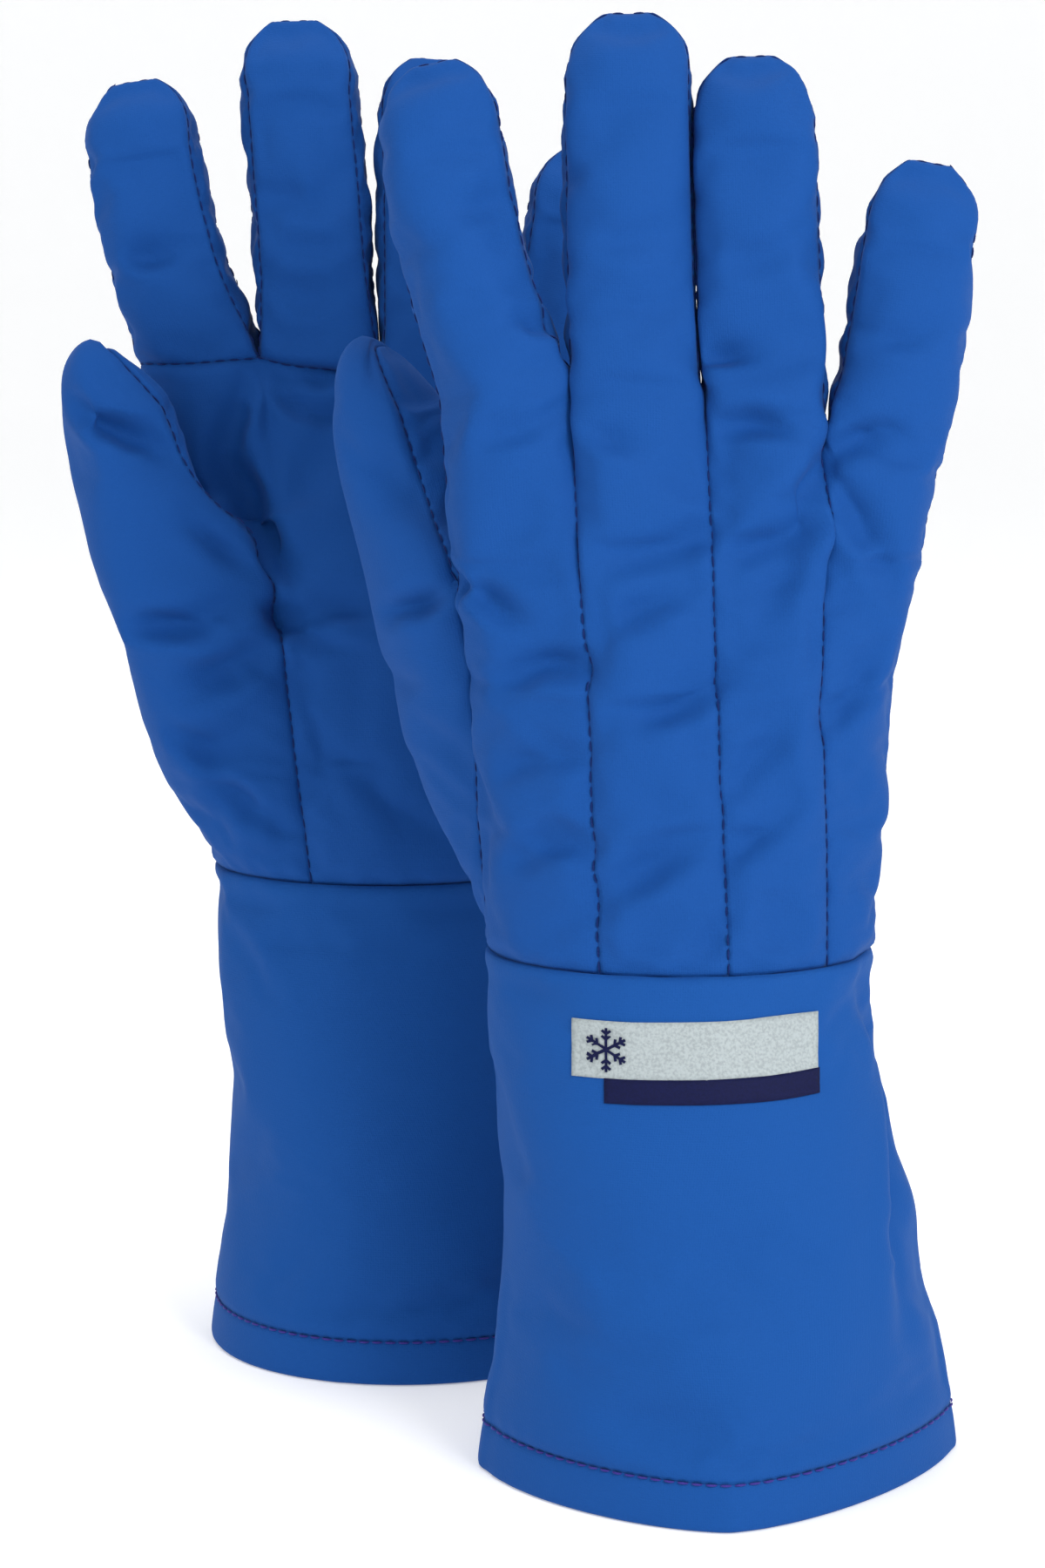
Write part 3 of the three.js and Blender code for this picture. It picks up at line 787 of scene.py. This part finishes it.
def woven(name, colour, pitch, roughness=0.75, sheen=0.06, bump=0.35):
    """Woven cloth: a plain weave of threads pitch metres apart, slightly uneven in colour and thickness."""
    material, shader = new_material(name)
    across = add_node(material, "TexCoord", output="UV")
    around = add_node(material, "TexCoord", output="Object")
    waves = []
    for direction in ("X", "Y"):
        sockets = {"Scale": 2 * math.pi / (20 * pitch), "Distortion": 0.6, "Detail": 1.0, "Vector": across}
        waves.append(add_node(material, "TexWave", sockets, "Fac", bands_direction=direction))
    weave = add_node(material, "Math", dict(enumerate(waves)), operation="MULTIPLY")
    slub = add_node(material, "TexNoise", {"Scale": 1500, "Detail": 2, "Vector": around}, "Fac")
    patch = add_node(material, "TexNoise", {"Scale": 34, "Detail": 4, "Vector": around}, "Fac")
    both = add_node(material, "Math", {0: slub, 1: patch}, operation="ADD")
    tone = add_node(material, "Math", {0: both, 1: 0.6}, operation="MULTIPLY_ADD")
    dyed = add_node(material, "Math", {0: weave, 1: 0.22, 2: tone}, operation="MULTIPLY_ADD")
    dark, light = [[min(k * c, 1) for k, c in zip(share, colour)] for share in (DARK_THREAD, LIGHT_THREAD)]
    thread = add_node(material, "Bump", {"Strength": bump, "Distance": 0.0001, "Height": weave}, "Normal")
    grain = {"Strength": 0.3, "Distance": 0.0004, "Height": both, "Normal": thread}
    set_sockets(material, shader, {
        "Base Color": add_ramp(material, dyed, (0.475, dark), (0.875, light)),
        "Normal": add_node(material, "Bump", grain, "Normal"),
        "Roughness": roughness,
        "Sheen Weight": sheen,
        "Sheen Roughness": 0.5,
        "Sheen Tint": (0.35, 0.55, 1.0, 1.0),
        "Specular IOR Level": 0.1,
    })
    return material


def printed(name, colour, roughness):
    """A printed film that takes a little of the cloth's grain."""
    material, shader = new_material(name)
    around = add_node(material, "TexCoord", output="Object")
    grain = add_node(material, "TexNoise", {"Scale": 1400, "Detail": 3, "Vector": around}, "Fac")
    dark = [0.78 * c for c in colour[:3]]
    bump = {"Strength": 0.6, "Distance": 0.0002, "Height": grain}
    set_sockets(material, shader, {
        "Base Color": add_ramp(material, grain, (0.35, dark), (0.6, colour)),
        "Normal": add_node(material, "Bump", bump, "Normal"),
        "Roughness": roughness,
        "Specular IOR Level": 0.15,
    })
    return material


MATERIALS = {
    "shell_fabric": woven("shell_nylon", linear(13, 65, 127), 0.00055),
    # The side strips' cloth is the shell nylon made darker: painted shade for the strips that face into the
    # gaps between the fingers.
    "side_fabric": woven("side_nylon", linear(10, 58, 115), 0.00055),
    "cuff_fabric": woven("cuff_nylon", linear(13, 67, 129), 0.0006),
    "lining": woven("lining_knit", linear(188, 196, 205), 0.0012, 0.85, 0.4, 0.6),
    "thread": woven("seam_thread", linear(9, 32, 88), 0.0002, 0.5, 0.1, 0.5),
    "hem_thread": woven("hem_thread", linear(48, 44, 120), 0.0002, 0.5, 0.1, 0.5),
    "label_film": printed("label_silver", linear(164, 173, 175), 0.55),
    "label_ink": printed("label_navy", linear(11, 17, 60), 0.7),
}
# The slots of the materials that aren't a slot of their own.
SLOTS = {"thread": "shell_fabric", "hem_thread": "cuff_fabric", "label_ink": "label_film"}


# ---- Pieces ----
SEAM_DIP = 0.35  # how far a panel's edge dips into its seam
SEAM_SWELL = 0.25  # how far the padding pushes up the first row beside it
CUFF_ROLL = 0.6  # the cuff's top edge rolls outwards this far over the hand's
CUFF_ROLL_ROWS = 8.0  # how far down the cuff it does so
TURN_IN = 2.0  # width of the turned-in seam allowance
VIEWED = bpy.context.scene.collection.objects


def finish_piece(name, points, faces, uvs, material, subdivide=1, sharp=(), corners=()):
    """An object made of points in metres, subdivided, smooth and with one material.

    Its sharp edges and corners keep their place when it is subdivided.
    """
    mesh = bpy.data.meshes.new(name)
    mesh.from_pydata(np.asarray(points).tolist(), [], faces)
    if len(sharp):
        pairs = {tuple(sorted(pair)) for pair in sharp}
        creases = [1.0 if tuple(sorted(e.vertices)) in pairs else 0.0 for e in mesh.edges]
        mesh.attributes.new("crease_edge", "FLOAT", "EDGE").data.foreach_set("value", creases)
        fixed = np.zeros(len(points))
        fixed[list(corners)] = 1.0
        mesh.attributes.new("crease_vert", "FLOAT", "POINT").data.foreach_set("value", fixed)
    mesh.uv_layers.new(name="UVMap").data.foreach_set("uv", np.asarray(uvs, float).ravel())
    obj = bpy.data.objects.new(name, mesh)
    VIEWED.link(obj)
    mesh.materials.append(MATERIALS[material])
    if subdivide:
        modifier = obj.modifiers.new("Subdivision", "SUBSURF")
        modifier.levels = modifier.render_levels = subdivide
        modifier.boundary_smooth = "PRESERVE_CORNERS"
        final = bpy.data.meshes.new_from_object(obj.evaluated_get(bpy.context.evaluated_depsgraph_get()))
        obj.modifiers.clear()
        obj.data = final
    obj.data.shade_smooth()
    return obj


class Sewn:
    """The inflated glove: its points, faces, panels and seams."""

    def __init__(self, style):
        points, self.faces, panels, parts, uvs, self.seams = lay_out(style)
        self.panels, self.parts, self.uvs = np.array(panels), np.array(parts), np.array(uvs)
        pinned = set(np.concatenate([np.concatenate(v) for v in self.seams.values()]))
        points = inflate(points, self.faces, pinned)
        thumb = thumb_digit(style)
        root, across = thumb["frame"][:2]
        outer = np.unique(self.faces[self.panels == "thumb_outer"])
        points = relax(points, self.faces, sorted(set(outer) - pinned), root - thumb["half_width"] * across)
        points = press_folds(points, self.faces)
        points = ripple(points, normals_of(points, self.faces), self.seams, style["seed"])
        self.points = part_fingers(points, self.faces, self.parts, style)
        self.normals = normals_of(self.points, self.faces)
        self.room = self.depth_below()
        meeting = {}
        for face, panel in zip(self.faces, self.panels):
            for p in face:
                meeting.setdefault(int(p), set()).add(panel)
        self.corners = {p for p, panels in meeting.items() if len(panels) > 2}

    def depth_below(self):
        """How far each point can move inwards before it nears the far side of the glove."""
        tree = tree_of(self.points, self.faces)
        room = []
        for p, n in zip(self.points, self.normals):
            inwards = Vector(-n)
            hit = tree.ray_cast(Vector(p) + inwards * 0.4, inwards)
            room.append(0.4 * (hit[3] + 0.4) if hit[3] is not None else 0.4)
        room = np.array(room)
        for _ in range(3):
            least = room[self.faces].min(1)
            for corner in range(4):
                np.minimum.at(room, self.faces[:, corner], least)
        return room

    def choose(self, which):
        """The points used by some of the faces, and those faces by their places among these points."""
        used, flat = np.unique(self.faces[which], return_inverse=True)
        return used, flat.reshape(-1, 4), self.uvs[which]

    def panel(self, name):
        """A panel's points, faces and UVs, with its edges turned in."""
        used, quads, quad_uvs = self.choose(self.panels == name)
        points, normals = self.points[used].copy(), self.normals[used]
        faces, uvs, seen = [], [], {}
        for quad, uv in zip(quads, quad_uvs):
            kept = [i for i in range(4) if quad[i] != quad[i - 1]]
            faces.append([int(quad[i]) for i in kept])
            uvs += [uv[i] for i in kept]
            for k, following in zip(kept, kept[1:] + kept[:1]):
                seen[(int(quad[k]), int(quad[following]))] = (uv[k], uv[following])
        edges = {pair: uv for pair, uv in seen.items() if pair[::-1] not in seen}
        border = sorted({a for a, _ in edges})
        beside = sorted({p for f in faces if set(f) & set(border) for p in f} - set(border))
        points[beside] += SEAM_SWELL * normals[beside]
        dips = np.full(len(border), SEAM_DIP)
        at_wrist = np.isin(used[border], self.seams["wrist"][0])
        dips[at_wrist] = -CUFF_ROLL if name == "gauntlet" else CUFF_ROLL
        points[border] -= dips[:, None] * normals[border]
        if name == "gauntlet":
            near = [p for p in beside if points[p][2] > SEAM_Z - CUFF_ROLL_ROWS]
            points[near] += (CUFF_ROLL + 0.2) * normals[near]
        turned = {p: len(points) + i for i, p in enumerate(border)}
        depth = np.minimum(TURN_IN, self.room[used][border])[:, None]
        points = np.concatenate([points, points[border] - depth * normals[border]])
        for (a, b), (uv_a, uv_b) in edges.items():
            faces.append([b, a, turned[a], turned[b]])
            uvs += [uv_b, uv_a, uv_a, uv_b]
        local = {int(p): i for i, p in enumerate(used)}
        corners = [local[p] for p in self.corners if p in local and local[p] in turned]
        return points, faces, np.array(uvs) * MM, list(edges), corners


def build_piece(glove, name, shape, where, material, stands_for=(), fill=None, subdivide=1):
    """Makes one piece of a glove in its place. fill, how full it is if it is padded, is not used."""
    points, faces, uvs, *edges = shape
    if glove.mirror < 0:
        flipped, k = [], 0
        for f in faces:
            flipped.append(uvs[k:k + len(f)][::-1])
            k += len(f)
        faces, uvs = [f[::-1] for f in faces], np.concatenate(flipped)
    obj = finish_piece(f"{glove.side}_{name}", glove.place(points), faces, uvs, material, subdivide, *edges)
    glove.attach(obj, where)
    if stands_for:
        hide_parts(*[glove.body(n) for n in stands_for])
    SLOTS.get(material, material)
    return obj


# ---- Stitches ----
STITCH_LENGTH, STITCH_GAP = 2.9, 0.8
STITCH_SIDES = 6
# The rings of one stitch: how far along its half length, how thick and how high each is.
STITCH_RINGS = [(-1.0, 0.15, -0.5), (-0.8, 0.75, -0.1), (-0.3, 1.0, 0.15)]
STITCH_RINGS += [(-where, size, lift) for where, size, lift in reversed(STITCH_RINGS)]
# Each kind's thread, how far above the cloth it runs and its radius.
SEAM_STITCH, HEM_STITCH = ("thread", -0.22, 0.2), ("hem_thread", 0.15, 0.3)


def stitches(line, outward, radius):
    """Short fat threads end to end along a line, each sinking into the cloth at its ends."""
    along = distances(line)
    count = max(int(along[-1] / (STITCH_LENGTH + STITCH_GAP)), 1)
    at = (np.arange(count) + 0.5) * along[-1] / count
    sides = STITCH_SIDES
    points, faces, uvs = [], [], []

    def sample(values, s):
        return np.array([np.interp(s, along, values[:, k]) for k in range(3)])

    for s in at:
        centre, up = sample(line, s), sample(outward, s)
        ahead = sample(line, min(s + 1, along[-1])) - sample(line, max(s - 1, 0))
        ahead /= np.linalg.norm(ahead)
        across = np.cross(up, ahead)
        across /= max(np.linalg.norm(across), 1e-9)
        up = np.cross(ahead, across)
        first = len(points)
        for where, size, lift in STITCH_RINGS:
            middle = centre + ahead * where * STITCH_LENGTH / 2 + up * lift * radius * 2
            for k in range(sides):
                a = 2 * math.pi * k / sides
                points.append(middle + size * radius * (math.cos(a) * across + math.sin(a) * up))
        around, corners = grid_faces(len(STITCH_RINGS), sides, first, closed=True)
        ends = [list(range(first, first + sides))[::-1], list(range(len(points) - sides, len(points)))]
        faces += around + ends
        uvs += corners + [(0, 0)] * (2 * sides)
    return np.array(points), faces, np.array(uvs, float) * 0.0004


def joined(shapes):
    """Several shapes as one."""
    points, faces, uvs, count = [], [], [], 0
    for p, f, u in shapes:
        points.append(p)
        faces += [[i + count for i in face] for face in f]
        uvs.append(u)
        count += len(p)
    return np.concatenate(points), faces, np.concatenate(uvs)


# ---- Linings ----
LEAST_PADDING = 2.2  # where the glove is thinner than this there is no lining


def lining(sewn, part):
    """The inside of the padding under one part of the glove: its surface, moved inwards."""
    used, quads, quad_uvs = sewn.choose(sewn.parts == part)
    points = sewn.points[used] - np.minimum(PADDING, sewn.room[used])[:, None] * sewn.normals[used]
    faces, uvs = [], []
    pinched = sewn.room[used] < LEAST_PADDING
    for quad, uv in zip(quads, quad_uvs):
        if pinched[quad].any():
            continue
        kept = [i for i in range(4) if quad[i] != quad[i - 1]][::-1]
        faces.append([int(quad[i]) for i in kept])
        uvs += [uv[i] for i in kept]
    return points, faces, np.array(uvs) * MM


# ---- Hem ----
# Outward distance and height round the turned-up hem, from its stitched top down, under and up inside.
HEM_PROFILE = [
    (-0.9, 12.5), (-0.35, 12.1), (0.1, 11.2), (0.3, 8.0), (0.3, 4.5), (0.3, 2.0),
    (0.3, 0.6), (-0.6, 0.0), (-2.4, 0.0), (-3.5, 0.5),
    (-4.0, 2.0), (-4.2, 5.0), (-4.3, 9.0), (-4.4, 12.0), (-4.6, 15.0), (-3.4, 15.6),
]
HEM_SPREAD = 0.13  # how far the hem goes on widening for each millimetre down
HEM_COLUMN = 3.4  # the width of one of its columns in its UVs


def hem(sewn):
    ring = sewn.points[sewn.seams["hem"][0][:-1]]
    outward = sewn.normals[sewn.seams["hem"][0][:-1]] * [1, 1, 0]
    outward /= np.linalg.norm(outward, axis=1, keepdims=True)
    points, n = [], len(ring)
    for out, z in HEM_PROFILE:
        row = ring + out * outward
        row = row + HEM_SPREAD * (HEM_Z - max(z, 1.5)) * outward
        row[:, 2] = z
        points.append(row)
    faces, corners = grid_faces(len(HEM_PROFILE), n, closed=True, flip=True)
    v = distances(HEM_PROFILE)
    return np.concatenate(points), faces, np.array([(c * HEM_COLUMN, v[r]) for c, r in corners]) * MM


# ---- Label ----
LABEL_X, LABEL_Z = (-27.5, 33.6), (110.4, 124.4)
BAND_X, BAND_LOW = (-19.6, 34.0), 104.4
LABEL_TILT = 0.012
SNOWFLAKE, SNOWFLAKE_STROKE = 5.4, 0.34  # the length of its arms and half the width of its strokes
SNOWFLAKE_INSET = 8.5  # from the label's edge to its middle
LABEL_LIFT, BAND_LIFT, SNOWFLAKE_LIFT = 0.4, 0.42, 0.62  # how far above the cuff each lies


def on_cuff(sewn):
    """Returns a function from x, height and lift to the point that far above the back of the cuff."""
    tree = tree_of(sewn.points, sewn.faces[sewn.parts == "gauntlet"])

    def at(x, z, lift):
        hit, normal, _, _ = tree.ray_cast(Vector((x, -200, z)), Vector((0, 1, 0)))
        normal = normal if normal.y < 0 else -normal
        return np.array(hit + normal * lift)

    return at


def label_patch(at, x0, x1, z0, z1, lift, step=1.2):
    """A thin film on the cuff between two corners, with its edges turned down."""
    columns, rows = max(int((x1 - x0) / step), 2), max(int((z1 - z0) / step), 2)
    points = []
    for r in range(-1, rows + 2):
        for c in range(-1, columns + 2):
            x = x0 + (x1 - x0) * min(max(c, 0), columns) / columns
            z = z0 + (z1 - z0) * min(max(r, 0), rows) / rows + LABEL_TILT * x
            inside = 0 <= c <= columns and 0 <= r <= rows
            points.append(at(x, z, lift if inside else -0.3))
    faces, uvs = grid_faces(rows + 3, columns + 3)
    return np.array(points), faces, np.array(uvs, float) * step * MM


def snowflake(at, x, z, size, lift, steps=5):
    """Six plain arms with two pairs of short twigs each, as flat strips."""
    strips = []
    for arm in range(6):
        angle = math.radians(60 * arm + 30)
        d = np.array([math.cos(angle), math.sin(angle)])
        strips.append(((0, 0), size * d))
        for reach in (0.45, 0.72):
            for turn in (-1, 1):
                t = angle + turn * math.radians(52)
                tip = size * (reach * d + 0.26 * np.array([math.cos(t), math.sin(t)]))
                strips.append((size * reach * d, tip))
    shapes = []
    for n, (a, b) in enumerate(strips):
        a, b = np.array(a), np.array(b)
        side = np.array([-(b - a)[1], (b - a)[0]]) / np.linalg.norm(b - a) * SNOWFLAKE_STROKE
        corners = [a - side, a + side, b + side, b - side]
        points = []
        for k in range(steps + 1):
            for start, end in ((corners[0], corners[3]), (corners[1], corners[2])):
                c = lerp(start, end, k / steps)
                points.append(at(x + c[0], z + c[1] + LABEL_TILT * x, lift + 0.004 * n))
        faces = grid_faces(steps + 1, 2, flip=True)[0]
        uvs = np.array([(0, 0), (1, 0), (1, 1), (0, 1)] * steps) * MM
        shapes.append((np.array(points), faces, uvs))
    return joined(shapes)


def place_label(sewn, glove):
    at = on_cuff(sewn)
    low, high = LABEL_Z
    shapes = {
        "label": label_patch(at, *LABEL_X, low, high, LABEL_LIFT),
        "label_band": label_patch(at, *BAND_X, BAND_LOW, low + 0.1, BAND_LIFT),
        "label_snowflake": snowflake(
            at, LABEL_X[0] + SNOWFLAKE_INSET, (low + high) / 2, SNOWFLAKE, SNOWFLAKE_LIFT
        ),
    }
    for name, shape in shapes.items():
        looks = ("label_film", ["label"]) if name == "label" else ("label_ink",)
        build_piece(glove, name, shape, "wrist", *looks, subdivide=0)


# ---- Building ----
# Each panel's piece, the panel, the body that it follows or the joint at which it is only fixed in place, its
# cloth and the CAD nodes it stands for.
PANEL_PIECES = []
for n, finger in enumerate(FINGER_NAMES):
    back, front = f"{finger}_back", f"{finger}_front"
    back_nodes = [back] + ["hand_back"] * (finger == "middle")
    PANEL_PIECES.append((f"{finger}_back_strip", back, finger, "shell_fabric", back_nodes))
    PANEL_PIECES.append((f"{finger}_palm_side", front, finger, "shell_fabric", [front]))
    for edge in ["thumb_side"] * (n > 0) + ["outer_side"] * (n < 3):
        panel = f"{finger}_{edge}"
        # The side strips take the darker cloth, which is painted shade for the gaps between the fingers.
        PANEL_PIECES.append((f"{panel}_strip", panel, finger, "side_fabric", [panel]))
PANEL_PIECES += [
    ("palm_panel", "palm", "hand", "shell_fabric", ["hand_palm"]),
    ("thumb_outer_panel", "thumb_outer", "thumb", "shell_fabric", ["thumb_outer", "thumb_gusset"]),
    ("thumb_inner_panel", "thumb_inner", "thumb", "shell_fabric", ["thumb_inner"]),
    ("gauntlet", "gauntlet", "wrist", "cuff_fabric", ["gauntlet_shell"]),
]

PANEL_FILL, HEM_FILL, LINING_FILL = 0.75, 0.2, 0.3  # how full of padding each kind of piece is

for side in ("right", "left"):
    glove = Glove(side)
    sewn = Sewn(glove.style)
    for name, panel, where, material, nodes in PANEL_PIECES:
        build_piece(glove, name, sewn.panel(panel), where, material, nodes, PANEL_FILL)
    build_piece(glove, "hem", hem(sewn), "cuff", "cuff_fabric", ["hem_fold"], HEM_FILL)
    linings = [("cuff", "gauntlet", "wrist", "gauntlet")] + [(part,) * 4 for part in ["hand"] + DIGITS]
    for name, part, where, node in linings:
        shape = lining(sewn, part)
        build_piece(glove, f"{name}_lining", shape, where, "lining", [f"{node}_liner"], LINING_FILL)
    for part in ["hand", "hem"] + DIGITS:
        where = "cuff" if part == "hem" else part
        thread, lift, radius = HEM_STITCH if part == "hem" else SEAM_STITCH
        runs = []
        for ids in sewn.seams[part]:
            outward = sewn.normals[ids]
            runs.append(stitches(sewn.points[ids] + lift * outward, outward, radius))
        build_piece(glove, f"{part}_stitches", joined(runs), where, thread, subdivide=0)
    place_label(sewn, glove)

# ---- Room, light and camera ----
PHOTO_DISTANCE = 0.978  # from the camera to the middle of the right glove
CAMERA_HEIGHT = 0.352
CAMERA_PITCH = 10.12
CAMERA_X = 0.0137


def make_floor():
    """A round white floor that curves up into a wall all round."""
    flat, curve, top, segments = 3.4, 1.2, 4.0, 64
    profile = [(0.0, 0.0), (1.0, 0.0), (flat, 0.0)]
    for step in range(1, 9):
        angle = step / 8 * math.pi / 2
        profile.append((flat + curve * math.sin(angle), curve * (1 - math.cos(angle))))
    profile.append((flat + curve, top))
    points = [(0, 0, 0)]
    for radius, z in profile[1:]:
        for k in range(segments):
            angle = 2 * math.pi * k / segments
            points.append((radius * math.cos(angle), radius * math.sin(angle), z))
    faces = [[0, 1 + k, 1 + (k + 1) % segments] for k in range(segments)]
    faces += grid_faces(len(profile) - 1, segments, 1, closed=True, flip=True)[0]
    mesh = bpy.data.meshes.new("floor")
    mesh.from_pydata(points, [], faces)
    mesh.shade_smooth()
    obj = bpy.data.objects.new("floor", mesh)
    VIEWED.link(obj)
    material, shader = new_material("floor_paper")
    grey, white = (0.9, 0.9, 0.9, 1), (1, 1, 1, 1)
    looks = {"Base Color": grey, "Roughness": 0.8, "Emission Color": white, "Emission Strength": 0.27}
    set_sockets(material, shader, looks)
    mesh.materials.append(material)


def area_light(name, place, target, size, power, colour=(1, 1, 1)):
    light = bpy.data.lights.new(name, "AREA")
    light.shape, light.size, light.energy, light.color = "DISK", size, power, colour
    obj = bpy.data.objects.new(name, light)
    obj.location = place
    obj.rotation_euler = (Vector(target) - Vector(place)).to_track_quat("-Z", "Y").to_euler()
    VIEWED.link(obj)


make_floor()
area_light("key", (0.85, -1.15, 0.95), (0, 0, 0.2), 0.7, 15)
area_light("fill", (-1.3, -1.1, 0.9), (0, 0, 0.2), 0.8, 2.9)
area_light("top", (-0.2, 0.2, 1.8), (0, 0, 0.2), 0.9, 10)
world = bpy.data.worlds.new("studio")
bpy.context.scene.world = world
world.use_nodes = True
background = world.node_tree.nodes["Background"].inputs
background["Color"].default_value, background["Strength"].default_value = (0.95, 0.97, 1.0, 1), 0.45
bpy.context.scene.view_settings.view_transform = "Standard"

camera_data = bpy.data.cameras.new("camera")
camera_data.lens, camera_data.sensor_width, camera_data.clip_start = 90, 36, 0.05
camera = bpy.data.objects.new("camera", camera_data)
right_glove = Glove("right").origin
camera.location = (CAMERA_X, right_glove[1] - PHOTO_DISTANCE, CAMERA_HEIGHT)
camera.rotation_euler = (math.radians(90 - CAMERA_PITCH), 0, 0)
VIEWED.link(camera)
bpy.context.scene.camera = camera
